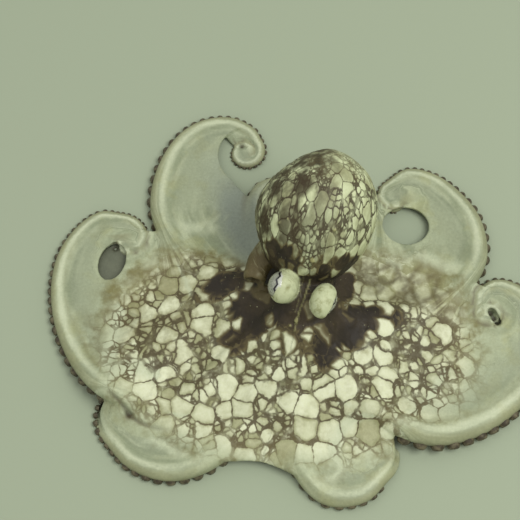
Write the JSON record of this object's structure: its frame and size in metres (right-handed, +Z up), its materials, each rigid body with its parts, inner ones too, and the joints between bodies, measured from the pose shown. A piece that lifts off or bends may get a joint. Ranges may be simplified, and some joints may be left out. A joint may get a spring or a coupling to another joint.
{
  "type": "common octopus, life-size still model",
  "caption": "Life-size still model of a common octopus resting with its web spread and its arms swept back into flat coils.",
  "frame": {"origin": "centre of the footprint, on the floor", "axes": "+Z up; the animal faces -Y and its mantle points to +Y; nodes named left are on the -X side and nodes named right on the +X side, as seen by whoever faces the animal"},
  "size_m": [0.297, 0.2464, 0.0962],
  "materials": {
    "body_skin": "soft wet skin with a net of dark lines and small warts",
    "arm_skin": "soft wet skin, pale with dark sucker rims",
    "web_skin": "thin wet skin with pale cells between dark lines",
    "funnel_skin": "smooth pale grey skin",
    "eye": "wet eye with a dark slit pupil"
  },
  "bodies": {
    "root": {"arm_1_left_base": "arm_skin", "arm_1_left_middle": "arm_skin", "arm_1_left_tip": "arm_skin", "arm_1_right_base": "arm_skin", "arm_1_right_middle": "arm_skin", "arm_1_right_tip": "arm_skin", "arm_2_left_base": "arm_skin", "arm_2_left_middle": "arm_skin", "arm_2_left_tip": "arm_skin", "arm_2_right_base": "arm_skin", "arm_2_right_middle": "arm_skin", "arm_2_right_tip": "arm_skin", "arm_3_left_base": "arm_skin", "arm_3_left_middle": "arm_skin", "arm_3_left_tip": "arm_skin", "arm_3_right_base": "arm_skin", "arm_3_right_middle": "arm_skin", "arm_3_right_tip": "arm_skin", "arm_4_left_base": "arm_skin", "arm_4_left_middle": "arm_skin", "arm_4_left_tip": "arm_skin", "arm_4_right_base": "arm_skin", "arm_4_right_middle": "arm_skin", "arm_4_right_tip": "arm_skin", "eye_left": "eye", "eye_right": "eye", "funnel": "funnel_skin", "head": "body_skin", "mantle": "body_skin", "web_front": "web_skin", "web_front_left": "web_skin", "web_front_right": "web_skin", "web_rear": "web_skin", "web_rear_left": "web_skin", "web_rear_right": "web_skin", "web_side_left": "web_skin", "web_side_right": "web_skin"}
  },
  "joints": []
}
